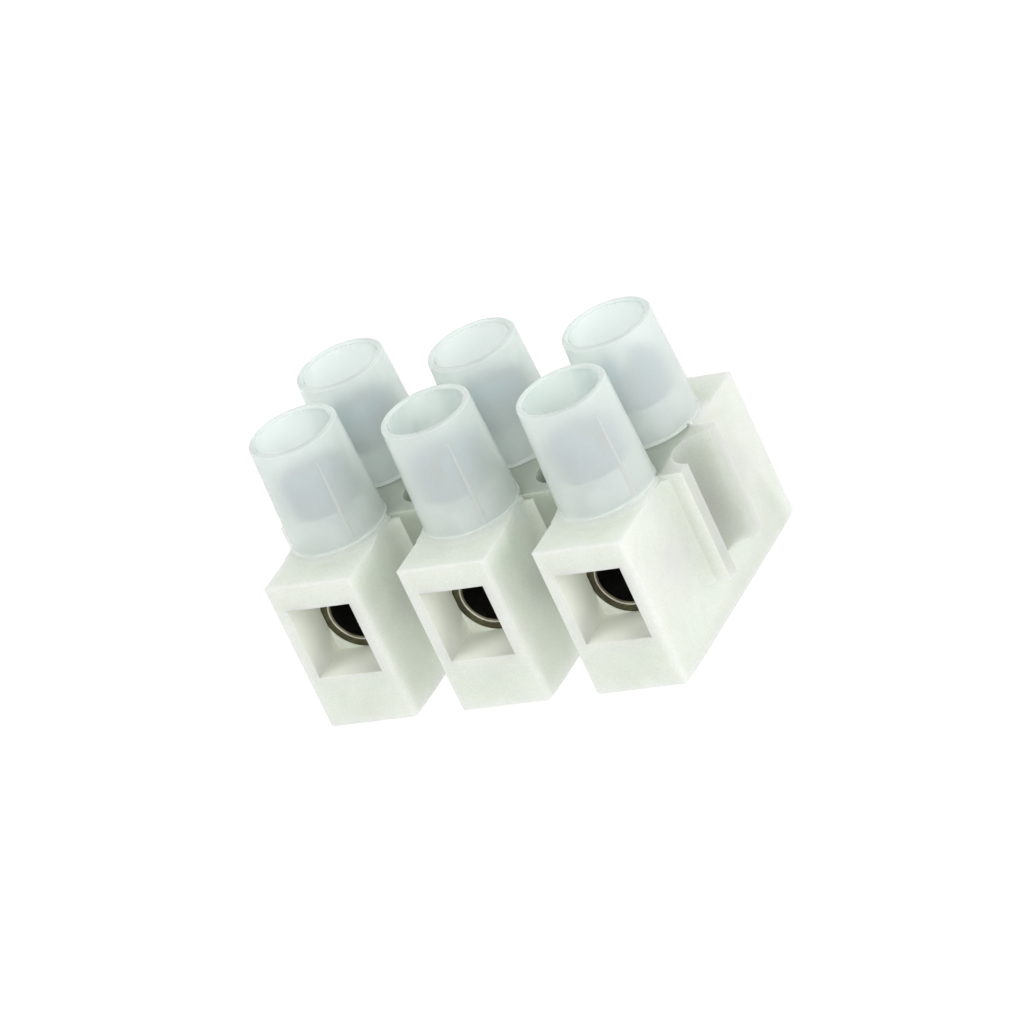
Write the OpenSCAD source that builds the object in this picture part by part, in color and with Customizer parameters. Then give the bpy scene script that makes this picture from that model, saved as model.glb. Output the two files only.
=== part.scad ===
// Three-pole screw terminal strip in natural translucent plastic.
// One moulded housing carries a round metal contact tube in each pole, and two slotted clamp
// screws per tube stand in tall round towers, one over each wire end.
// Millimetres. X runs along the strip, Y from the front wire mouths to the rear ones, Z up.
// The origin is the middle of the flat base.

/* [Strip] */
// Distance between the middles of two neighbouring poles
pitch = 10; // [9.6:0.1:13]

/* [Pole bodies] */
// Width of one pole
pole_w = 6.6; // [6.2:0.1:7.2]
// Depth from the front face to the rear face
body_d = 18.9; // [17.4:0.1:26]
// Height from the base to the top of the poles
body_h = 10.8; // [10:0.1:14]
// Rounding of the poles' upright edges
edge_r = 0.3; // [0.1:0.05:0.6]

/* [Webs] */
// Depth of the web that joins the poles and is cut off half way at both ends
web_d = 5.6; // [5.2:0.1:9]
// Height of the web's underside above the base
web_floor = 3; // [1.6:0.1:5]
// How far the web's top stands above the top of the poles
web_rise = 0.35; // [0.1:0.05:0.8]
// Radius of the fillets where the web runs into the poles
web_fillet = 0.9; // [0.2:0.1:1.1]
// Diameter of the fixing holes, which also groove the poles' sides
fixing_d = 3.6; // [3.5:0.1:4.4]

/* [Screw towers] */
// Height of the towers above the poles
tower_h = 8; // [6:0.1:12]
// Distance between the front and the rear tower of a pole
tower_spacing = 7.5; // [7:0.1:9]
// Land between the foot of a tower and the pole's side
tower_land = 0.05; // [0.02:0.01:0.3]
// Wall thickness at the round rim of a tower
rim_wall = 0.45; // [0.3:0.05:0.7]
// Radius of the fillet round the foot of a tower
foot_fillet = 0.6; // [0.1:0.05:0.8]
// How much wider the bore is at the rim than at its floor, on each side
bore_draft = 0.15; // [0:0.05:0.3]
// Depth of the bore's floor below the top of the poles
bore_sink = 0.6; // [0.2:0.05:1]

/* [Wire mouths] */
// Depth of a mouth, from the face of the pole to the end of the tube
mouth_depth = 3.15; // [1.5:0.05:3.6]
// How far the mouth's side walls reach in front of the tube, on each side
mouth_lip = 0.1; // [0:0.02:0.3]
// Height of the mouth above the tube
mouth_headroom = 0.3; // [0:0.05:0.6]
// How much the mouth opens out towards the face, on each side
mouth_draft = 0.06; // [0:0.02:0.3]

/* [Contact tube] */
// Outer diameter of the tube
tube_d = 4.8; // [4.4:0.1:5.2]
// Diameter of the wire bore
tube_bore_d = 3.5; // [3:0.1:3.8]
// Height of the tube's axis above the base
tube_axis_h = 6.2; // [5:0.1:6.6]
// Chamfer at both ends of the wire bore
tube_chamfer = 0.12; // [0.05:0.01:0.25]

/* [Clamp screws] */
// Diameter of the head
head_d = 4.2; // [3.8:0.1:4.5]
// Height of the head
head_h = 2.8; // [2:0.1:3.4]
// Chamfer round the top of the head
head_chamfer = 0.3; // [0.1:0.05:0.6]
// Outside diameter of the threaded shank
shank_d = 3; // [2.5:0.1:3.2]
// Length of the shank, from the head's underside to the tip
shank_l = 5.2; // [4:0.1:6]
// Chamfer round the tip of the shank
tip_chamfer = 0.4; // [0.1:0.05:0.7]
// Width of the driver slot
slot_w = 0.8; // [0.5:0.1:1.2]
// Depth of the driver slot
slot_depth = 1.3; // [0.8:0.1:1.8]

/* [Fits] */
// Radial clearance of the tube in its channel
tube_clearance = 0.03; // [0.01:0.01:0.1]
// End clearance of the tube in its channel, at each end
tube_end_clearance = 0.05; // [0.01:0.01:0.2]
// Radial clearance of the screw thread in the tube
thread_clearance = 0.05; // [0.02:0.01:0.1]
// Radial clearance of the shank in the plastic above the tube
shank_clearance = 0.2; // [0.1:0.05:0.4]
// Radial clearance of the head at the floor of its bore
head_clearance = 0.3; // [0.15:0.05:0.4]
// Clearance of the open screw's tip above the wire bore
tip_clearance = 0.05; // [0.02:0.01:0.5]

/* [Hidden] */
$fn = 64;
// Names of the poles and of the two rows of screws
POLES = ["left", "middle", "right"];
ROWS = ["front", "rear"];

// Overlap that lets a cut pass clean through a face
through = 1;
// Number of poles, and the strip's full length
pole_count = len(POLES);
strip_l = pole_count * pitch;
// Contact tube: its length between the mouths, and its lowest and highest line
tube_l = body_d - 2 * mouth_depth;
tube_bottom = tube_axis_h - tube_d / 2;
tube_top = tube_axis_h + tube_d / 2;
// Mouth: its width and height where it meets the tube
mouth_w = tube_d - 2 * mouth_lip;
mouth_top = tube_top + mouth_headroom;
// Towers: radii of the foot, the bore and the rim, and heights of the bore's floor and the rim
foot_r = pole_w / 2 - tower_land;
bore_r = head_d / 2 + head_clearance;
rim_bore_r = bore_r + bore_draft;
rim_r = rim_bore_r + rim_wall;
bore_floor = body_h - bore_sink;
rim_top = body_h + tower_h;
rim_round_h = rim_top - rim_wall / 2;
// Screw: height of the head's underside with the screw open
head_seat = tube_axis_h + tube_bore_d / 2 + tip_clearance + shank_l;
// Turn of each screw's slot, as the screws happened to stop, in degrees
slot_turns = [[35, 100, 155], [70, 20, 125]];

// X of a pole, and Y of a row of screws
function pole_x(pole) = (pole - (pole_count - 1) / 2) * pitch;
function row_y(row) = (row == 0 ? -1 : 1) * tower_spacing / 2;

// Rectangle with rounded corners, from its middle
module rounded_rect(w, d, r) {
    square([w - 2 * r, d], center = true);
    square([w, d - 2 * r], center = true);
    for (sx = [-1, 1], sy = [-1, 1])
        translate([sx * (w / 2 - r), sy * (d / 2 - r)]) circle(r);
}

// Upright outline of one pole, from the base to a given height
module pole_block(h) {
    linear_extrude(h) rounded_rect(pole_w, body_d, edge_r);
}

// Half section of a tower's wall, with its round rim and the fillet at its foot
module tower_section() {
    polygon([
        [bore_r, bore_floor],
        [foot_r, bore_floor],
        [foot_r, body_h],
        [rim_r, rim_round_h],
        [rim_bore_r, rim_round_h]
    ]);
    translate([rim_bore_r + rim_wall / 2, rim_round_h]) circle(rim_wall / 2);
    difference() {
        translate([foot_r - rim_wall, body_h]) square([rim_wall + foot_fillet, foot_fillet]);
        translate([foot_r + foot_fillet, body_h + foot_fillet]) circle(foot_fillet);
    }
}

// Fillets in the four corners that the webs make with one pole
module web_roots() {
    linear_extrude(body_h - web_floor)
        for (sx = [-1, 1], sy = [-1, 1])
            translate([sx * pole_w / 2, sy * web_d / 2])
                difference() {
                    translate([sx, sy] * web_fillet / 2) square(web_fillet, center = true);
                    translate([sx, sy] * web_fillet) circle(web_fillet);
                }
}

// Both towers of a pole, trimmed to the outline of the pole and its webs
module towers() {
    intersection() {
        for (row = [0, 1])
            translate([0, row_y(row), 0]) rotate_extrude() tower_section();
        translate([0, 0, bore_floor])
            linear_extrude(tower_h + bore_sink) {
                square([pole_w, body_d], center = true);
                square([pitch, web_d], center = true);
            }
    }
}

// Half section of a tower's bore, widening from its floor to the rim
module tower_bore_section() {
    polygon([
        [0, bore_floor],
        [bore_r, bore_floor],
        [rim_bore_r, rim_round_h],
        [0, rim_round_h]
    ]);
}

// Bore of a tower and the shank's hole below it, down into the tube's channel
module screw_way() {
    rotate_extrude() tower_bore_section();
    translate([0, 0, tube_axis_h])
        cylinder(h = bore_floor + through - tube_axis_h, r = shank_d / 2 + shank_clearance);
}

// Wire mouth, opening out from the end of the tube to the front face
module wire_mouth() {
    face_y = -body_d / 2;
    end_y = face_y + mouth_depth;
    out_y = face_y - through;
    grow = mouth_draft * (end_y - out_y) / mouth_depth;
    intersection() {
        translate([0, 0, tube_bottom - grow])
            linear_extrude(mouth_top - tube_bottom + 2 * grow) polygon([
                [-mouth_w / 2, end_y],
                [-mouth_w / 2 - grow, out_y],
                [mouth_w / 2 + grow, out_y],
                [mouth_w / 2, end_y]
            ]);
        rotate([90, 0, 90])
            translate([0, 0, -pole_w / 2])
                linear_extrude(pole_w) polygon([
                    [end_y, tube_bottom],
                    [out_y, tube_bottom - grow],
                    [out_y, mouth_top + grow],
                    [end_y, mouth_top]
                ]);
    }
}

// Everything that is hollow in one pole: the tube's channel, two mouths and two screw ways
module pole_hollow() {
    translate([0, 0, tube_axis_h])
        rotate([90, 0, 0])
            cylinder(h = tube_l + 2 * tube_end_clearance, r = tube_d / 2 + tube_clearance, center = true);
    for (side = [0, 180])
        rotate(side) wire_mouth();
    for (row = [0, 1])
        translate([0, row_y(row), 0]) screw_way();
}

// Moulded housing: poles, webs and towers in one piece
module housing() {
    color([0.90, 0.94, 0.91])
        difference() {
            union() {
                translate([-strip_l / 2, -web_d / 2, web_floor])
                    cube([strip_l, web_d, body_h + web_rise - web_floor]);
                for (pole = [0 : pole_count - 1])
                    translate([pole_x(pole), 0, 0]) {
                        pole_block(body_h);
                        translate([0, 0, web_floor]) web_roots();
                        towers();
                    }
            }
            for (pole = [0 : pole_count - 1])
                translate([pole_x(pole), 0, 0]) pole_hollow();
            for (hole = [0 : pole_count])
                translate([hole * pitch - strip_l / 2, 0, web_floor])
                    cylinder(h = body_h + web_rise - web_floor + through, d = fixing_d);
        }
}

// Metal contact tube with two threaded screw holes in its top wall
module contact_tube(pole) {
    color([0.62, 0.60, 0.55])
        translate([pole_x(pole), 0, tube_axis_h])
            difference() {
                rotate([90, 0, 0]) difference() {
                    cylinder(h = tube_l, d = tube_d, center = true);
                    cylinder(h = tube_l + through, d = tube_bore_d, center = true);
                    for (side = [0, 180])
                        rotate([0, side, 0])
                            translate([0, 0, tube_l / 2 - tube_chamfer])
                                cylinder(
                                    h = 2 * tube_chamfer,
                                    d1 = tube_bore_d,
                                    d2 = tube_bore_d + 4 * tube_chamfer
                                );
                }
                for (row = [0, 1])
                    translate([0, row_y(row), 0])
                        cylinder(h = tube_d, r = shank_d / 2 + thread_clearance);
            }
}

// Slotted clamp screw, open, with its tip just above the wire bore
module clamp_screw(row, pole) {
    color([0.55, 0.58, 0.62])
        translate([pole_x(pole), row_y(row), head_seat])
            difference() {
                rotate_extrude() polygon([
                    [0, -shank_l],
                    [shank_d / 2 - tip_chamfer, -shank_l],
                    [shank_d / 2, -shank_l + tip_chamfer],
                    [shank_d / 2, 0],
                    [head_d / 2, 0],
                    [head_d / 2, head_h - head_chamfer],
                    [head_d / 2 - head_chamfer, head_h],
                    [0, head_h]
                ]);
                rotate(slot_turns[row][pole])
                    translate([-head_d, -slot_w / 2, head_h - slot_depth])
                        cube([2 * head_d, slot_w, slot_depth + through]);
            }
}

housing();
for (pole = [0 : pole_count - 1])
    contact_tube(pole);
for (row = [0, 1], pole = [0 : pole_count - 1])
    clamp_screw(row, pole);
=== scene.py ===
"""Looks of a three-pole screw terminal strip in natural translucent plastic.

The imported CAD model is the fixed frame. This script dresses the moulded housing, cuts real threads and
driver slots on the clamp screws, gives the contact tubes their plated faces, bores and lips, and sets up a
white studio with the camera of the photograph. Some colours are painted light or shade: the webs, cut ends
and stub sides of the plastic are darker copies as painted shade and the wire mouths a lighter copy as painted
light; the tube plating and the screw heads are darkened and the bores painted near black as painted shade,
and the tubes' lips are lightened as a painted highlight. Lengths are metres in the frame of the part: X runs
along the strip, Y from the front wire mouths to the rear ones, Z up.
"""
import logging
import math
from collections.abc import Callable, Iterable
from dataclasses import dataclass, field
from enum import Enum, IntEnum

import bmesh
import bpy
from mathutils import Matrix, Vector


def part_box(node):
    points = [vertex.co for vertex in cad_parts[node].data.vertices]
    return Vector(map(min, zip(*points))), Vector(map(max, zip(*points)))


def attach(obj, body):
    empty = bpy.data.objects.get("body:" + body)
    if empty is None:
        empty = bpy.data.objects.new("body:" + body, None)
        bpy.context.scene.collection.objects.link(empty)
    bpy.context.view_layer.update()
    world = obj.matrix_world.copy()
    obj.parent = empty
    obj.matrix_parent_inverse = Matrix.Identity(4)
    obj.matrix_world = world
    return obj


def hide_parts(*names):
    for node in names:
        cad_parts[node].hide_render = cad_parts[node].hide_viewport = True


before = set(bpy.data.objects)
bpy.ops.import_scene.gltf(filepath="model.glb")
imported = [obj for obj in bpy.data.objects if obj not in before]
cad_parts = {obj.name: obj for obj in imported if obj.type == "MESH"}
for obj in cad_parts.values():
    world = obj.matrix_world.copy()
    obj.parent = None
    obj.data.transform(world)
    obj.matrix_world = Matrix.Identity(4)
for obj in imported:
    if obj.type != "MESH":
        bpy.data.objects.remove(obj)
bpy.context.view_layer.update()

Colour = tuple[float, float, float]

LOG = logging.getLogger("terminal_strip")
MM = 0.001
WHITE: Colour = (1.0, 1.0, 1.0)
# Points closer than this are one point, and faces that turn less than this are one flat face
SAME_POINT = 1e-4 * MM
SAME_PLANE = math.radians(0.5)
# Edges that turn more than this are sharp
SHARP = math.radians(30.0)
# Most of what a noise texture puts out lies in this range
NOISE_LOW, NOISE_HIGH = 0.3, 0.7
# The poles in pitches from the middle one, and the two sides of the strip as signs
POLE_STEPS = (-1, 0, 1)
SIDES = (-1.0, 1.0)
# Sockets of a Mix node that mixes colours
MIX_FACTOR, MIX_LOW, MIX_HIGH, MIX_RESULT = 0, 6, 7, 2


class Pole(Enum):
    """The three poles of the strip, by the end of their node names."""

    LEFT = "left"
    MIDDLE = "middle"
    RIGHT = "right"


class Row(Enum):
    """The two rows of clamp screws, by the middle of their node names."""

    FRONT = "front"
    REAR = "rear"


class Slot(Enum):
    """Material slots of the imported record."""

    PLASTIC = "natural_plastic"
    TUBE = "nickel_plated_brass"
    SCREW = "zinc_plated_steel"


class Zone(IntEnum):
    """Parts of the housing with a finish of their own, by material index; webs, cut ends and stub sides carry
    painted shade, mouths painted light.
    """

    BODY = 0
    TOWER = 1
    INSIDE = 2
    RIM = 3
    WEB = 4
    MOUTH = 5
    CUT_END = 6
    SEAM = 7
    END_SIDE = 8


class TubeFace(IntEnum):
    """Faces of a contact tube, by material index."""

    PLATED = 0
    BORE = 1
    LIP = 2


class ScrewFace(IntEnum):
    """Faces of a clamp screw, by material index."""

    HEAD = 0
    THREAD = 1


def rgba(colour: Colour) -> tuple[float, float, float, float]:
    """The colour with full alpha, as colour sockets take it."""
    return (*colour, 1.0)


class NodeSketch:
    """A node tree with short calls for adding and wiring nodes."""

    def __init__(self, tree: bpy.types.NodeTree) -> None:
        """Start on an emptied tree.

        Args:
            tree: The material's or group's own tree.
        """
        self.tree = tree
        self.tree.nodes.clear()

    def put(self, socket: bpy.types.NodeSocket, value: object) -> None:
        """Set or wire one input.

        Args:
            socket: The input.
            value: A value, or the socket that feeds it.
        """
        if isinstance(value, bpy.types.NodeSocket):
            self.tree.links.new(value, socket)
        else:
            socket.default_value = value

    def feed(self, node: bpy.types.Node, **inputs: object) -> None:
        """Set or wire inputs of a node.

        Args:
            node: The node to feed.
            inputs: Values or sockets by input name, with _ for spaces.
        """
        for name, value in inputs.items():
            self.put(node.inputs[name.replace("_", " ")], value)

    def add(self, kind: str, **inputs: object) -> bpy.types.Node:
        """Add a node and set or wire its inputs.

        Args:
            kind: The node's type without the ShaderNode prefix, such as "TexNoise".
            inputs: Values or sockets by input name, with _ for spaces.

        Returns:
            The new node.
        """
        prefix = "" if kind.startswith("NodeGroup") else "ShaderNode"
        node = self.tree.nodes.new(prefix + kind)
        self.feed(node, **inputs)
        return node

    def math(self, operation: str, *values: object) -> bpy.types.NodeSocket:
        """Add a math node on two or three values or sockets.

        Args:
            operation: Blender's name of the operation.
            values: Its operands in order.

        Returns:
            The result's socket.
        """
        node = self.add("Math")
        node.operation = operation
        for socket, value in zip(node.inputs, values):
            self.put(socket, value)
        return node.outputs[0]

    def blend(self, factor: object, low: object, high: object) -> bpy.types.NodeSocket:
        """Mix two colours.

        Args:
            factor: Share of the second colour, a value or a socket.
            low: The first colour.
            high: The second colour.

        Returns:
            The mixed colour's socket.
        """
        node = self.add("Mix")
        node.data_type = "RGBA"
        for index, value in ((MIX_FACTOR, factor), (MIX_LOW, low), (MIX_HIGH, high)):
            self.put(node.inputs[index], value)
        return node.outputs[MIX_RESULT]

    def spread(self, value: object, low: float, high: float, to_low: float,
               to_high: float) -> bpy.types.NodeSocket:
        """Map a range of values onto another, clamped.

        Args:
            value: The socket to map.
            low: Start of its range.
            high: End of its range.
            to_low: What the start becomes.
            to_high: What the end becomes.

        Returns:
            The mapped value's socket.
        """
        node = self.add("MapRange", Value=value, From_Min=low, From_Max=high, To_Min=to_low, To_Max=to_high)
        return node.outputs["Result"]

    def join(self, kind: str, first: bpy.types.Node, second: bpy.types.Node,
             **inputs: object) -> bpy.types.Node:
        """Add or mix two shaders.

        Args:
            kind: "AddShader" or "MixShader".
            first: The first shader's node.
            second: The second shader's node.
            inputs: Values or sockets of the new node's other inputs.

        Returns:
            The new node.
        """
        node = self.add(kind, **inputs)
        for socket, shader in zip(node.inputs[-2:], (first, second)):
            self.put(socket, shader.outputs[0])
        return node


@dataclass(frozen=True)
class GroupSpec:
    """A shader node group's name, inputs with their defaults, and outputs."""

    name: str
    inputs: dict[str, float]
    outputs: tuple[str, ...]

    def build(self, wire: Callable[[NodeSketch, bpy.types.Node], dict[str, bpy.types.NodeSocket]],
              ) -> bpy.types.NodeTree:
        """Make the group.

        Args:
            wire: Draws the nodes and returns the socket of each output by name.

        Returns:
            The finished group.
        """
        tree = bpy.data.node_groups.new(self.name, "ShaderNodeTree")
        for name, default in self.inputs.items():
            socket = tree.interface.new_socket(name, in_out="INPUT", socket_type="NodeSocketFloat")
            socket.default_value = default
        for name in self.outputs:
            tree.interface.new_socket(name, in_out="OUTPUT", socket_type="NodeSocketFloat")
        sketch = NodeSketch(tree)
        results = wire(sketch, sketch.add("NodeGroupInput"))
        sketch.add("NodeGroupOutput", **results)
        return tree


def wire_clouding(sketch: NodeSketch, start: bpy.types.Node) -> dict[str, bpy.types.NodeSocket]:
    """Draw the cloudy flow of a moulding and its fine skin.

    Args:
        sketch: The group's tree.
        start: Its group input.

    Returns:
        The outputs Cloud, Skin and Height.
    """
    skin_in_cloud, flow_in_height = 1.3, 0.6
    clear, dense = 0.85, 1.45
    place = sketch.add("TexCoord").outputs["Object"]
    flow = sketch.add("TexNoise", Vector=place, Scale=start.outputs["Cloud Scale"], Detail=5.0, Roughness=0.6,
                      Distortion=0.8).outputs[0]
    skin = sketch.add("TexNoise", Vector=place, Scale=start.outputs["Skin Scale"], Detail=3.0,
                      Roughness=0.55).outputs[0]
    mottle = sketch.math("MULTIPLY_ADD", skin, skin_in_cloud, flow)
    height = sketch.math("MULTIPLY_ADD", flow, flow_in_height, skin)
    return {"Cloud": sketch.spread(mottle, clear, dense, 0.0, 1.0), "Skin": skin, "Height": height}


def wire_tarnish(sketch: NodeSketch, start: bpy.types.Node) -> dict[str, bpy.types.NodeSocket]:
    """Draw the turning marks and the blotches of a plated metal face.

    Args:
        sketch: The group's tree.
        start: Its group input.

    Returns:
        The outputs Marks, Blotch and Height.
    """
    along_marks = (0.12, 0.12, 1.0)
    blotch_in_height = 0.3
    clean, stained = 0.35, 0.68
    place = sketch.add("TexCoord").outputs["Object"]
    blotch = sketch.add("TexNoise", Vector=place, Scale=start.outputs["Blotch Scale"], Detail=6.0,
                        Roughness=0.65).outputs[0]
    stretch = sketch.add("Mapping", Vector=place, Scale=along_marks)
    marks = sketch.add("TexNoise", Vector=stretch.outputs[0], Scale=start.outputs["Mark Scale"],
                       Detail=2.0).outputs[0]
    height = sketch.math("MULTIPLY_ADD", blotch, blotch_in_height, marks)
    return {"Marks": marks, "Blotch": sketch.spread(blotch, clean, stained, 0.0, 1.0), "Height": height}


CLOUDING = GroupSpec("moulded_clouding", {"Cloud Scale": 420.0, "Skin Scale": 7000.0},
                     ("Cloud", "Skin", "Height")).build(wire_clouding)
TARNISH = GroupSpec("plated_tarnish", {"Blotch Scale": 900.0, "Mark Scale": 14000.0},
                    ("Marks", "Blotch", "Height")).build(wire_tarnish)


def new_material(name: str) -> tuple[bpy.types.Material, NodeSketch]:
    """Start a material.

    Args:
        name: The material's name.

    Returns:
        The material and its emptied tree.
    """
    material = bpy.data.materials.new(name)
    material.use_nodes = True
    return material, NodeSketch(material.node_tree)


@dataclass(frozen=True)
class PlasticFinish:
    """Natural milky plastic, by how much light goes straight through its wall or far into it."""

    name: str
    pale: Colour
    deep: Colour
    rough_low: float
    rough_high: float
    see_through: float = 0.0
    depth: float = 0.0
    lets_light_in: float = 0.0
    ior: float = 1.49
    cloud_scale: float = 420.0
    skin_scale: float = 7000.0
    skin_height: float = 0.006 * MM
    skin_strength: float = 0.5
    colours_of_depth: Colour = (1.0, 1.05, 0.95)

    def material(self) -> bpy.types.Material:
        """The finish as a material.

        Returns:
            The new material.
        """
        material, sketch = new_material(self.name)
        clouding = sketch.add("Group")
        clouding.node_tree = CLOUDING
        sketch.feed(clouding, Cloud_Scale=self.cloud_scale, Skin_Scale=self.skin_scale)
        tint = sketch.blend(clouding.outputs["Cloud"], rgba(self.pale), rgba(self.deep))
        rough = sketch.spread(clouding.outputs["Skin"], NOISE_LOW, NOISE_HIGH, self.rough_low,
                              self.rough_high)
        bump = sketch.add("Bump", Height=clouding.outputs["Height"], Distance=self.skin_height,
                          Strength=self.skin_strength)
        surface = sketch.add("BsdfPrincipled", Base_Color=tint, Roughness=rough, Normal=bump.outputs[0],
                             IOR=self.ior, Subsurface_Weight=float(self.depth > 0.0),
                             Subsurface_Radius=self.colours_of_depth, Subsurface_Scale=self.depth,
                             Transmission_Weight=self.see_through)
        if self.lets_light_in > 0.0:
            shadow = sketch.add("LightPath").outputs["Is Shadow Ray"]
            surface = sketch.join("MixShader", surface, sketch.add("BsdfTransparent"),
                                  Fac=sketch.math("MULTIPLY", shadow, self.lets_light_in))
        sketch.add("OutputMaterial", Surface=surface.outputs[0])
        return material


@dataclass(frozen=True)
class MetalFinish:
    """A plated metal face with turning marks and tarnish; some are darkened as painted shade, one lightened
    as a painted highlight.
    """

    name: str
    bright: Colour
    stained: Colour
    rough_low: float
    rough_high: float
    blotch_scale: float = 900.0
    mark_scale: float = 14000.0
    mark_height: float = 0.004 * MM
    mark_strength: float = 0.6

    def material(self) -> bpy.types.Material:
        """The finish as a material.

        Returns:
            The new material.
        """
        material, sketch = new_material(self.name)
        tarnish = sketch.add("Group")
        tarnish.node_tree = TARNISH
        sketch.feed(tarnish, Blotch_Scale=self.blotch_scale, Mark_Scale=self.mark_scale)
        tint = sketch.blend(tarnish.outputs["Blotch"], rgba(self.bright), rgba(self.stained))
        rough = sketch.spread(tarnish.outputs["Marks"], NOISE_LOW, NOISE_HIGH, self.rough_low,
                              self.rough_high)
        bump = sketch.add("Bump", Height=tarnish.outputs["Height"], Distance=self.mark_height,
                          Strength=self.mark_strength)
        surface = sketch.add("BsdfPrincipled", Base_Color=tint, Roughness=rough, Normal=bump.outputs[0],
                             Metallic=1.0)
        sketch.add("OutputMaterial", Surface=surface.outputs[0])
        return material


# The moulding is one plastic. Its walls differ in thickness, so each zone lets its own share of light in or
# through.
# Webs and cut ends are thick, towers and rims are thin. Some zones are lit or shaded copies of the body's
# colour:
# the webs, the cut ends and the stub sides are darker as painted shade, and the mouths are lighter as painted
# light.
PLASTICS: dict[Zone, PlasticFinish] = {
    Zone.BODY: PlasticFinish("natural_plastic_body", (0.832, 0.877, 0.796), (0.752, 0.797, 0.72), 0.38, 0.5,
                             depth=2.0 * MM),
    Zone.TOWER: PlasticFinish("natural_plastic_tower", (0.945, 1.0, 0.97), (0.895, 0.965, 0.93), 0.18, 0.25,
                              see_through=0.42, lets_light_in=0.75, ior=1.3),
    Zone.INSIDE: PlasticFinish("natural_plastic_inside", (0.97, 0.99, 0.985), (0.94, 0.975, 0.965),
                               0.55, 0.65, see_through=1.0, lets_light_in=0.8, ior=1.3),
    Zone.RIM: PlasticFinish("natural_plastic_rim", (0.945, 1.0, 0.97), (0.895, 0.965, 0.93), 0.18, 0.25,
                            see_through=0.35, lets_light_in=0.74, ior=1.3),
    # Painted shade: the webs between the poles and their fixing holes get a much darker copy of the body's
    # colour for the shade in the gaps and between the towers.
    Zone.WEB: PlasticFinish("natural_plastic_web", (0.48, 0.52, 0.45), (0.44, 0.48, 0.41), 0.38, 0.5,
                            depth=2.0 * MM),
    # Painted light: the wire mouths get a lighter copy of the colour, with no depth, for the light that comes
    # into the recesses through the walls.
    Zone.MOUTH: PlasticFinish("natural_plastic_mouth", (0.97, 1.0, 0.91), (0.93, 0.965, 0.87), 0.45, 0.6),
    # Painted shade: the cut faces and the half holes of the end stubs get a darker copy of the colour for the
    # shade in the groove.
    Zone.CUT_END: PlasticFinish("natural_plastic_end", (0.54, 0.575, 0.515), (0.49, 0.525, 0.465), 0.5, 0.65,
                                depth=6.0 * MM),
    Zone.SEAM: PlasticFinish("natural_plastic_seam", (0.65, 0.68, 0.66), (0.60, 0.63, 0.61), 0.3, 0.4),
    # Painted shade: the stub sides beside the cut faces get a somewhat darker copy of the colour for the
    # shade in the corner by the pole's side.
    Zone.END_SIDE: PlasticFinish("natural_plastic_end_side", (0.745, 0.788, 0.714), (0.68, 0.722, 0.648),
                                 0.45, 0.6, depth=3.0 * MM),
}
TUBE_METALS: dict[TubeFace, MetalFinish] = {
    # Painted shade: the plating is darkened far below plated metal for the shade in the wire mouths; its
    # blotches are real tarnish.
    TubeFace.PLATED: MetalFinish("plated_tube", (0.17, 0.16, 0.10), (0.095, 0.088, 0.057), 0.3, 0.42),
    # Painted shade: the bore is painted near black for the shade inside the tube.
    TubeFace.BORE: MetalFinish("painted_shade_bore", (0.06, 0.057, 0.052), (0.03, 0.028, 0.026), 0.45, 0.65),
    # Painted highlight: the lip is a lightened copy of the plating, a bright line round the bore.
    TubeFace.LIP: MetalFinish("painted_highlight_lip", (0.60, 0.58, 0.52), (0.40, 0.38, 0.33), 0.3, 0.45),
}
SCREW_METALS: dict[ScrewFace, MetalFinish] = {
    # Painted shade: the head is a dark blue copy of the zinc plating for the shade that the heads show inside
    # the towers; the thread keeps the plating's own grey.
    ScrewFace.HEAD: MetalFinish("zinc_plated_head_painted_shade", (0.03, 0.14, 0.24), (0.02, 0.10, 0.17), 0.4, 0.55),
    ScrewFace.THREAD: MetalFinish("zinc_plated_thread", (0.68, 0.71, 0.73), (0.55, 0.58, 0.60), 0.4, 0.55),
}


def materials_of(finishes: dict[IntEnum, PlasticFinish | MetalFinish]) -> list[bpy.types.Material]:
    """The finishes' materials, in the order of their material indices."""
    return [finishes[index].material() for index in sorted(finishes)]


def put_on(piece: bpy.types.Object, materials: Iterable[bpy.types.Material]) -> None:
    """Give a piece its materials.

    Args:
        piece: The piece.
        materials: The materials by index.
    """
    for material in materials:
        piece.data.materials.append(material)


def merged_shape(node: str) -> bmesh.types.BMesh:
    """Copy a CAD node's mesh, with its flat faces joined up.

    Args:
        node: The CAD node.

    Returns:
        The copy, which the caller frees.
    """
    shape = bmesh.new()
    shape.from_mesh(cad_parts[node].data)
    bmesh.ops.remove_doubles(shape, verts=shape.verts, dist=SAME_POINT)
    bmesh.ops.dissolve_limit(shape, angle_limit=SAME_PLANE, verts=shape.verts, edges=shape.edges)
    return shape


def linked(name: str, shape: bmesh.types.BMesh) -> bpy.types.Object:
    """Put a shape into the scene.

    Args:
        name: The new object's name.
        shape: Its mesh, which is freed.

    Returns:
        The new object.
    """
    mesh = bpy.data.meshes.new(name)
    shape.to_mesh(mesh)
    shape.free()
    obj = bpy.data.objects.new(name, mesh)
    bpy.context.scene.collection.objects.link(obj)
    return obj


def mark_edges(shape: bmesh.types.BMesh, softness: Callable[[Vector], float]) -> None:
    """Write down how far each sharp edge is rounded, and mark the rest of them sharp.

    Args:
        shape: The mesh.
        softness: Share of the full rounding at a point of an edge.
    """
    weight = shape.edges.layers.float.new("bevel_weight_edge")
    for face in shape.faces:
        face.smooth = True
    for edge in shape.edges:
        turn = edge.calc_face_angle_signed(0.0)
        if turn > SHARP:
            edge[weight] = softness((edge.verts[0].co + edge.verts[1].co) / 2)
        edge.smooth = len(edge.link_faces) == 2 and (abs(turn) < SHARP or edge[weight] > 0.0)


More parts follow.
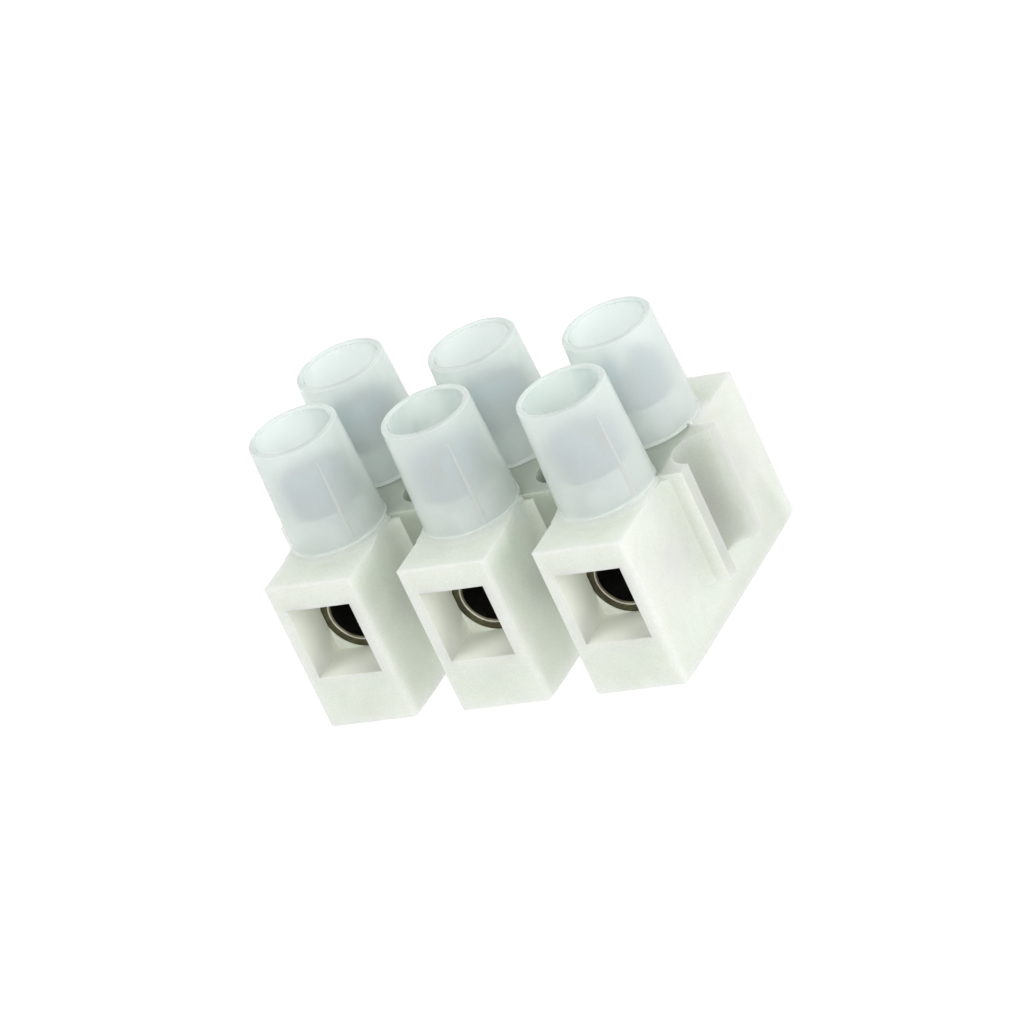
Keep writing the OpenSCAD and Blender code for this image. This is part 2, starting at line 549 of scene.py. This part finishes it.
def bake_modifiers(obj: bpy.types.Object) -> None:
    """Replace a piece's mesh by what its modifiers make of it.

    Args:
        obj: The piece.
    """
    graph = bpy.context.evaluated_depsgraph_get()
    mesh = bpy.data.meshes.new_from_object(obj.evaluated_get(graph), preserve_all_data_layers=True,
                                           depsgraph=graph)
    obj.modifiers.clear()
    obj.data = mesh


def round_edges(obj: bpy.types.Object, width: float, segments: int, material: int = -1) -> None:
    """Round off the marked edges of a piece.

    Args:
        obj: The piece.
        width: How far a full rounding reaches from the edge.
        segments: Faces across the rounding.
        material: Index of the roundings' own finish, or -1 for that of the faces beside them.
    """
    bevel = obj.modifiers.new("soft_edges", "BEVEL")
    bevel.width = width
    bevel.segments = segments
    bevel.limit_method = "WEIGHT"
    bevel.material = material
    bevel.use_clamp_overlap = False
    bevel.miter_outer = "MITER_ARC"
    bevel.harden_normals = True
    bake_modifiers(obj)


@dataclass
class Housing:
    """The moulded housing: milky pole bodies with thin, see-through towers."""

    node: str = "housing"
    body: str = "block"
    pitch: float = 10.0 * MM
    pole_half: float = 3.3 * MM
    body_half: float = 9.45 * MM
    body_h: float = 10.8 * MM
    web_half: float = 2.8 * MM
    web_top: float = 11.15 * MM
    web_fillet: float = 0.9 * MM
    web_side_margin: float = 0.2 * MM
    mouth_half: float = 2.6 * MM
    mouth_low: float = 3.5 * MM
    mouth_high: float = 9.2 * MM
    tower_spacing: float = 7.5 * MM
    tower_foot: float = 11.2 * MM
    foot_r: float = 3.25 * MM
    rim_low: float = 18.6 * MM
    rim_r: float = 3.0 * MM
    seam_low: float = 11.5 * MM
    seam_top: float = 17.4 * MM
    seam_half: float = 0.17 * MM
    seam_crown: float = 0.4
    seam_taper: float = 0.7
    seam_rise: float = 0.03 * MM
    seam_rows: int = 8
    seam_turns: tuple[float, ...] = (47.0, 44.0, 62.0)
    edge_width: float = 0.16 * MM
    edge_segments: int = 3
    mouth_softness: float = 0.35
    soft_from: float = 6.1 * MM
    sharp_margin: float = 0.3 * MM
    near: float = 0.05 * MM
    level: float = 0.003 * MM
    facing_up: float = 0.9

    def pole_x(self, point: Vector) -> float:
        """X of the middle of the pole that is nearest to a point."""
        return min((self.pitch * step for step in POLE_STEPS), key=lambda x: abs(point.x - x))

    def aside(self, point: Vector) -> float:
        """How far a point lies to the side of the middle of its pole."""
        return abs(point.x - self.pole_x(point))

    def spoke(self, point: Vector) -> Vector:
        """Level vector to a point from the axis of the nearest tower."""
        tower_y = math.copysign(self.tower_spacing / 2, point.y)
        return Vector((point.x - self.pole_x(point), point.y - tower_y, 0.0))

    def at_mouth(self, point: Vector) -> bool:
        """Whether a point lies within the outline of a wire mouth, seen from the front."""
        return self.aside(point) < self.mouth_half and self.mouth_low < point.z < self.mouth_high

    def at_top_side(self, point: Vector) -> bool:
        """Whether a point lies on the upper side edge of a pole."""
        return self.aside(point) > self.pole_half - self.near and abs(point.z - self.body_h) < self.level

    def softness(self, point: Vector) -> float:
        """How far an edge is rounded: the poles' outer edges fully, the wire mouths' a little.

        Args:
            point: The middle of the edge.

        Returns:
            The share of the full rounding.
        """
        by_web = abs(point.y) < self.web_half + self.web_fillet + self.sharp_margin
        if by_web and self.aside(point) > self.pole_half - self.sharp_margin:
            return 0.0
        if abs(point.y) > self.body_half - self.near:
            return self.mouth_softness if self.at_mouth(point) else 1.0
        at_side = self.at_top_side(point) and abs(point.y) > self.soft_from
        return float(at_side or point.z < self.near)

    def split_sides(self, shape: bmesh.types.BMesh) -> None:
        """Put a point into the poles' upper side edges where their rounding stops short of the towers.

        Args:
            shape: The housing's mesh.
        """
        for edge in list(shape.edges):
            inner, outer = sorted(edge.verts, key=lambda vert: abs(vert.co.y))
            crosses = abs(inner.co.y) < self.soft_from < abs(outer.co.y)
            if crosses and self.at_top_side(inner.co) and self.at_top_side(outer.co):
                share = (self.soft_from - abs(inner.co.y)) / (abs(outer.co.y) - abs(inner.co.y))
                bmesh.utils.edge_split(edge, inner, share)

    def split_web_tops(self, shape: bmesh.types.BMesh) -> None:
        """Part the tops of the cut ends from the rest of the webs' tops.

        Args:
            shape: The housing's mesh.
        """
        for side in SIDES:
            tops = [face for face in shape.faces if face.normal.z > self.facing_up
                    and abs(face.calc_center_median().z - self.web_top) < self.near]
            edges = dict.fromkeys(edge for face in tops for edge in face.edges)
            corners = dict.fromkeys(vert for face in tops for vert in face.verts)
            bmesh.ops.bisect_plane(shape, geom=[*corners, *edges, *tops], dist=SAME_POINT,
                                   plane_co=(side * (self.pitch + self.pole_half), 0.0, 0.0),
                                   plane_no=(1.0, 0.0, 0.0))

    def floor_feet(self, shape: bmesh.types.BMesh) -> set[bmesh.types.BMFace]:
        """Part the towers from the bodies with a floor inside the foot of each wall.

        Args:
            shape: The housing's mesh.

        Returns:
            The faces of the floors, which face up.
        """
        parts = [*shape.verts, *shape.edges, *shape.faces]
        cut = bmesh.ops.bisect_plane(shape, geom=parts, dist=SAME_POINT, plane_co=(0.0, 0.0, self.tower_foot),
                                     plane_no=(0.0, 0.0, 1.0))
        rims: dict[tuple[float, bool], list[bmesh.types.BMEdge]] = {}
        for edge in cut["geom_cut"]:
            if isinstance(edge, bmesh.types.BMEdge):
                point = edge.verts[0].co
                rims.setdefault((self.pole_x(point), point.y > 0.0), []).append(edge)
        floors = set()
        for rim in rims.values():
            floors.update(bmesh.ops.bridge_loops(shape, edges=rim)["faces"])
        for face in floors:
            if face.normal.z < 0.0:
                face.normal_flip()
        return floors

    def on_web(self, face: bmesh.types.BMFace) -> bool:
        """Whether a face belongs to the webs or the fixing holes rather than to a pole.

        Args:
            face: A face of the housing.

        Returns:
            True for a face of a web.
        """
        middle = face.calc_center_median()
        on_top = abs(middle.z - self.web_top) < self.near
        within = all(abs(vert.co.y) < self.web_half + self.near for vert in face.verts)
        return within and (on_top or self.aside(middle) > self.pole_half - self.web_side_margin)

    def zone(self, face: bmesh.types.BMFace) -> Zone:
        """Which part of the housing a face belongs to.

        Args:
            face: A face of the housing.

        Returns:
            The face's zone.
        """
        middle = face.calc_center_median()
        if middle.z > self.rim_low:
            return Zone.RIM
        # Webs, cut ends and stub sides take the darker copies of the colour, as painted shade.
        if self.on_web(face):
            if abs(middle.x) < self.pitch + self.pole_half - self.web_side_margin:
                return Zone.WEB
            return Zone.CUT_END if abs(middle.y) < self.web_half - self.near else Zone.END_SIDE
        # Mouths take the lighter copy of the colour, as painted light.
        if self.at_mouth(middle) and abs(middle.y) < self.body_half - self.near:
            return Zone.MOUTH
        if middle.z > self.tower_foot:
            return Zone.INSIDE if face.normal.dot(self.spoke(middle)) < 0.0 else Zone.TOWER
        return Zone.BODY

    def seam_row(self, shape: bmesh.types.BMesh, step: int, side: float, turn: float,
                 share: float) -> list[bmesh.types.BMVert]:
        """Set a level row of points across a tower's seam.

        Args:
            shape: The housing's mesh.
            step: The tower's pole, in pitches from the middle one.
            side: -1.0 for a front tower, 1.0 for a rear one.
            turn: Where the seam stands, in radians from the tower's outermost line.
            share: How far up the seam the row lies.

        Returns:
            The points from edge to edge.
        """
        height = self.seam_low + (self.seam_top - self.seam_low) * share
        fall = (height - self.body_h) / (self.rim_low - self.body_h)
        radius = self.foot_r + (self.rim_r - self.foot_r) * fall
        half = self.seam_half * (1.0 - self.seam_taper * share)
        crown, rise = half * self.seam_crown, self.seam_rise * (1.0 - share)
        row = []
        for offset, lift in ((-half, 0.0), (-crown, rise), (crown, rise), (half, 0.0)):
            angle = turn + offset / radius
            reach = radius + lift
            row.append(shape.verts.new((self.pitch * step + reach * math.sin(angle),
                                        side * (self.tower_spacing / 2 + reach * math.cos(angle)), height)))
        return row

    def add_seams(self, shape: bmesh.types.BMesh) -> None:
        """Raise the upright seam on each tower where the melt closed round the core.

        Args:
            shape: The housing's mesh.
        """
        for step, turn in zip(POLE_STEPS, self.seam_turns):
            for side in SIDES:
                rows = [self.seam_row(shape, step, side, math.radians(turn), index / (self.seam_rows - 1))
                        for index in range(self.seam_rows)]
                for lower, upper in zip(rows, rows[1:]):
                    for first, second, third, fourth in zip(lower, lower[1:], upper[1:], upper):
                        corners = (first, second, third, fourth)
                        face = shape.faces.new(corners if side < 0.0 else corners[::-1])
                        face.material_index = Zone.SEAM

    def build(self) -> bpy.types.Object:
        """Make the housing and put its finishes on.

        Returns:
            The piece.
        """
        shape = merged_shape(self.node)
        self.split_sides(shape)
        self.split_web_tops(shape)
        floors = self.floor_feet(shape)
        for face in shape.faces:
            face.material_index = Zone.BODY if face in floors else self.zone(face)
        self.add_seams(shape)
        mark_edges(shape, self.softness)
        piece = linked("moulded_housing", shape)
        put_on(piece, materials_of(PLASTICS))
        round_edges(piece, self.edge_width, self.edge_segments)
        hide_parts(self.node)
        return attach(piece, self.body)


@dataclass
class ContactTube:
    """One plated contact tube, its plating darkened as painted shade, with a bore painted near black as
    painted shade and a lip lightened as a painted highlight.
    """

    pole: Pole
    body: str = "block"
    wall: float = 0.65 * MM
    bore_margin: float = 0.12 * MM
    lip_width: float = 0.05 * MM
    lip_segments: int = 2
    facing_end: float = 0.5

    def build(self, materials: list[bpy.types.Material]) -> bpy.types.Object:
        """Make the tube.

        Args:
            materials: The materials that the tubes share, by the index of the face.

        Returns:
            The piece.
        """
        node = f"contact_tube_{self.pole.value}"
        low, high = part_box(node)
        axis_x, axis_z = (low.x + high.x) / 2, (low.z + high.z) / 2
        bore_r = (high.z - low.z) / 2 - self.wall + self.bore_margin
        shape = merged_shape(node)
        for face in shape.faces:
            middle = face.calc_center_median()
            spoke = Vector((middle.x - axis_x, 0.0, middle.z - axis_z))
            # Faces inside the bore take the finish painted near black, as painted shade.
            inward = face.normal.dot(spoke) < 0.0 and abs(face.normal.y) < self.facing_end
            in_bore = inward and spoke.length < bore_r
            face.material_index = TubeFace.BORE if in_bore else TubeFace.PLATED
        mark_edges(shape, lambda point: float(abs(point.y) > high.y - self.lip_width
                                              and math.hypot(point.x - axis_x, point.z - axis_z) < bore_r))
        piece = linked(f"plated_{node}", shape)
        put_on(piece, materials)
        # The lip's rounding takes the lightened finish, a painted highlight.
        round_edges(piece, self.lip_width, self.lip_segments, TubeFace.LIP)
        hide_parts(node)
        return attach(piece, self.body)


@dataclass
class ClampScrew:
    """One slotted clamp screw with a cut thread."""

    row: Row
    pole: Pole
    slot_turn: float
    head_r: float = 2.1 * MM
    head_h: float = 2.8 * MM
    head_chamfer: float = 0.3 * MM
    head_fillet: float = 0.12 * MM
    shank_r: float = 1.5 * MM
    tip_chamfer: float = 0.4 * MM
    thread_pitch: float = 0.5 * MM
    thread_depth: float = 0.28 * MM
    groove_half: float = 0.44
    slot_w: float = 0.8 * MM
    slot_depth: float = 1.3 * MM
    around: int = 72
    rows_per_pitch: int = 10
    crease: float = math.radians(35.0)
    # Steps of the rounded edges of the head: share of the way up from below or down from the top, and
    # share of the radius that is taken off there
    under_steps: tuple[tuple[float, float], ...] = ((0.0, 1.0), (0.3, 0.3), (1.0, 0.0))
    top_steps: tuple[tuple[float, float], ...] = ((1.0, 0.0), (0.6, 0.16), (0.2, 0.6), (0.0, 1.0))

    def profile(self, low: float, high: float) -> list[tuple[float, float, float]]:
        """Outline of the screw as it would be turned, before the slot is cut.

        Args:
            low: Height of the tip.
            high: Height of the top of the head.

        Returns:
            Height, radius and thread depth of each ring, from the tip to the top.
        """
        neck = high - self.head_h
        count = round((neck - low) / self.thread_pitch * self.rows_per_pitch)
        rings = []
        for index in range(count + 1):
            height = low + (neck - low) * index / count
            radius = min(self.shank_r, self.shank_r - self.tip_chamfer + (height - low))
            runout = min(1.0, (neck - height) / self.thread_pitch, (height - low) / self.tip_chamfer)
            rings.append((height, radius, self.thread_depth * runout))
        for up, off in self.under_steps:
            rings.append((neck + self.head_fillet * up, self.head_r - self.head_fillet * off, 0.0))
        for down, off in self.top_steps:
            rings.append((high - self.head_chamfer * down, self.head_r - self.head_chamfer * off, 0.0))
        return rings

    def turned(self, name: str, centre: Vector, low: float, high: float) -> bpy.types.Object:
        """The threaded and turned screw, without its slot.

        Args:
            name: The object's name.
            centre: A point on the screw's axis.
            low: Height of the tip.
            high: Height of the top of the head.

        Returns:
            The new object.
        """
        shape = bmesh.new()
        loops = []
        for height, radius, depth in self.profile(low, high):
            loop = []
            for index in range(self.around):
                share = index / self.around
                phase = (height / self.thread_pitch - share) % 1.0
                groove = max(0.0, 1.0 - abs(phase - 0.5) / self.groove_half)
                reach = radius - depth * groove
                angle = share * math.tau
                loop.append(shape.verts.new((centre.x + reach * math.cos(angle),
                                             centre.y + reach * math.sin(angle), height)))
            loops.append(loop)
        for lower, upper in zip(loops, loops[1:]):
            for index in range(self.around):
                after = (index + 1) % self.around
                shape.faces.new((lower[index], lower[after], upper[after], upper[index]))
        shape.faces.new(list(reversed(loops[0])))
        shape.faces.new(loops[-1])
        bmesh.ops.recalc_face_normals(shape, faces=shape.faces)
        return linked(name, shape)

    def cut_slot(self, piece: bpy.types.Object, centre: Vector, high: float) -> None:
        """Mill the driver slot into the head.

        Args:
            piece: The turned screw.
            centre: A point on the screw's axis.
            high: Height of the top of the head.
        """
        shape = bmesh.new()
        place = Matrix.Translation((centre.x, centre.y, high))
        turn = Matrix.Rotation(math.radians(self.slot_turn), 4, "Z")
        size = Matrix.Diagonal((self.head_r * 4, self.slot_w, self.slot_depth * 2, 1.0))
        bmesh.ops.create_cube(shape, size=1.0, matrix=place @ turn @ size)
        cutter = linked("slot_cutter", shape)
        cut = piece.modifiers.new("slot", "BOOLEAN")
        cut.object = cutter
        cut.operation = "DIFFERENCE"
        cut.solver = "EXACT"
        bake_modifiers(piece)
        bpy.data.objects.remove(cutter)

    def build(self, materials: list[bpy.types.Material]) -> bpy.types.Object:
        """Make the screw.

        Args:
            materials: The materials that the screws share, by the index of the face.

        Returns:
            The piece.
        """
        place = f"{self.row.value}_{self.pole.value}"
        node = f"clamp_screw_{place}"
        low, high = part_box(node)
        centre = (low + high) / 2
        piece = self.turned(f"threaded_{node}", centre, low.z, high.z)
        self.cut_slot(piece, centre, high.z)
        piece.data.materials.clear()
        put_on(piece, materials)
        half_row = 0.5 * self.thread_pitch / self.rows_per_pitch
        # The head takes the darkened copy of the plating, painted shade; the thread keeps the plating's own
        # grey.
        for polygon in piece.data.polygons:
            below_head = polygon.center.z < high.z - self.head_h - half_row
            polygon.use_smooth = True
            polygon.material_index = ScrewFace.THREAD if below_head else ScrewFace.HEAD
        piece.data.set_sharp_from_angle(angle=self.crease)
        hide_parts(node)
        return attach(piece, f"screw_{place}")


@dataclass(frozen=True)
class Lamp:
    """One soft box of the studio."""

    name: str
    place: tuple[float, float, float]
    width: float
    height: float
    power: float

    def build(self, aim: Vector) -> bpy.types.Object:
        """Hang the lamp and point it.

        Args:
            aim: The point that it faces.

        Returns:
            The lamp.
        """
        data = bpy.data.lights.new(self.name, "AREA")
        data.shape = "RECTANGLE"
        data.size = self.width
        data.size_y = self.height
        data.energy = self.power
        lamp = bpy.data.objects.new(self.name, data)
        bpy.context.scene.collection.objects.link(lamp)
        lamp.location = self.place
        lamp.rotation_euler = (aim - lamp.location).to_track_quat("-Z", "Y").to_euler()
        lamp.visible_camera = False
        return lamp


@dataclass
class Studio:
    """White floor, soft light and the photograph's camera."""

    aim: Vector = field(default_factory=lambda: Vector((0.0, 0.0, 8.35 * MM)))
    azimuth: float = 36.06
    elevation: float = 25.77
    roll: float = -25.45
    distance: float = 447.6 * MM
    field_of_view: float = 8.262
    nearest: float = 0.01
    farthest: float = 20.0
    floor_half: float = 3.0
    floor_gap: float = 0.01 * MM
    floor_colour: Colour = (0.12, 0.12, 0.12)
    table_glow: float = 0.8
    table_white: float = 0.93
    ambient: float = 0.68
    lamps: tuple[Lamp, ...] = (
        Lamp("key_box", (-0.25, -0.34, 0.68), 0.4, 0.4, 1.02),
        Lamp("fill_box", (0.58, -0.05, 0.14), 0.4, 0.25, 0.92),
        Lamp("strip_box", (0.24, -0.56, 0.16), 0.10, 0.30, 0.25),
    )

    def camera(self) -> bpy.types.Object:
        """Set up the camera of the photograph.

        Returns:
            The camera, which becomes the scene's own.
        """
        turn, lift = math.radians(self.azimuth), math.radians(self.elevation)
        back = Vector((math.sin(turn) * math.cos(lift), -math.cos(turn) * math.cos(lift), math.sin(lift)))
        data = bpy.data.cameras.new("photo_camera")
        data.angle = math.radians(self.field_of_view)
        data.clip_start, data.clip_end = self.nearest, self.farthest
        camera = bpy.data.objects.new("photo_camera", data)
        bpy.context.scene.collection.objects.link(camera)
        camera.location = self.aim + back * self.distance
        level = (-back).to_track_quat("-Z", "Y").to_matrix().to_4x4()
        camera.rotation_euler = (level @ Matrix.Rotation(math.radians(self.roll), 4, "Z")).to_euler()
        bpy.context.scene.camera = camera
        return camera

    def seen_directly(self, sketch: NodeSketch) -> bpy.types.NodeSocket:
        """A mask of the rays that show a background: from the camera, off gloss and through plastic.

        Args:
            sketch: The tree that uses the mask.

        Returns:
            The mask's socket.
        """
        path = sketch.add("LightPath")
        mask = sketch.math("MAXIMUM", path.outputs["Is Camera Ray"], path.outputs["Is Glossy Ray"])
        return sketch.math("MAXIMUM", mask, path.outputs["Is Transmission Ray"])

    def world(self) -> None:
        """Light the whole room evenly, and show it white."""
        world = bpy.data.worlds.new("white_room")
        world.use_nodes = True
        sketch = NodeSketch(world.node_tree)
        strength = sketch.spread(self.seen_directly(sketch), 0.0, 1.0, self.ambient, 1.0)
        light = sketch.add("Background", Color=rgba(WHITE), Strength=strength)
        sketch.add("OutputWorld", Surface=light.outputs[0])
        bpy.context.scene.world = world

    def floor(self) -> bpy.types.Object:
        """Lay the white light table, which glows softly, keeps a faint shadow and is clear from underneath.

        Returns:
            The floor.
        """
        material, sketch = new_material("white_floor")
        strength = sketch.spread(self.seen_directly(sketch), 0.0, 1.0, self.table_glow, self.table_white)
        table = sketch.join("AddShader", sketch.add("BsdfDiffuse", Color=rgba(self.floor_colour)),
                            sketch.add("Emission", Color=rgba(WHITE), Strength=strength))
        one_sided = sketch.join("MixShader", table, sketch.add("BsdfTransparent"),
                                Fac=sketch.add("NewGeometry").outputs["Backfacing"])
        sketch.add("OutputMaterial", Surface=one_sided.outputs[0])
        shape = bmesh.new()
        bmesh.ops.create_grid(shape, x_segments=1, y_segments=1, size=self.floor_half)
        floor = linked("studio_floor", shape)
        floor.location.z = -self.floor_gap
        floor.data.materials.append(material)
        return floor

    def build(self) -> None:
        """Set up camera, room, floor and lamps."""
        self.camera()
        self.world()
        self.floor()
        for lamp in self.lamps:
            lamp.build(self.aim)
        bpy.context.scene.view_settings.view_transform = "Standard"


SLOT_TURNS = {
    (Row.FRONT, Pole.LEFT): 35.0,
    (Row.FRONT, Pole.MIDDLE): 100.0,
    (Row.FRONT, Pole.RIGHT): 155.0,
    (Row.REAR, Pole.LEFT): 70.0,
    (Row.REAR, Pole.MIDDLE): 20.0,
    (Row.REAR, Pole.RIGHT): 125.0,
}


def main() -> None:
    """Build the studio and dress the strip, piece by piece."""
    logging.basicConfig(level=logging.INFO, format="%(name)s: %(message)s")
    Studio().build()
    LOG.info("housing %s", Housing().build().name)
    tube_metals = materials_of(TUBE_METALS)
    for pole in Pole:
        LOG.info("tube %s", ContactTube(pole).build(tube_metals).name)
    screw_metals = materials_of(SCREW_METALS)
    for (row, pole), turn in SLOT_TURNS.items():
        LOG.info("screw %s", ClampScrew(row, pole, turn).build(screw_metals).name)


if __name__ == "__main__":
    main()
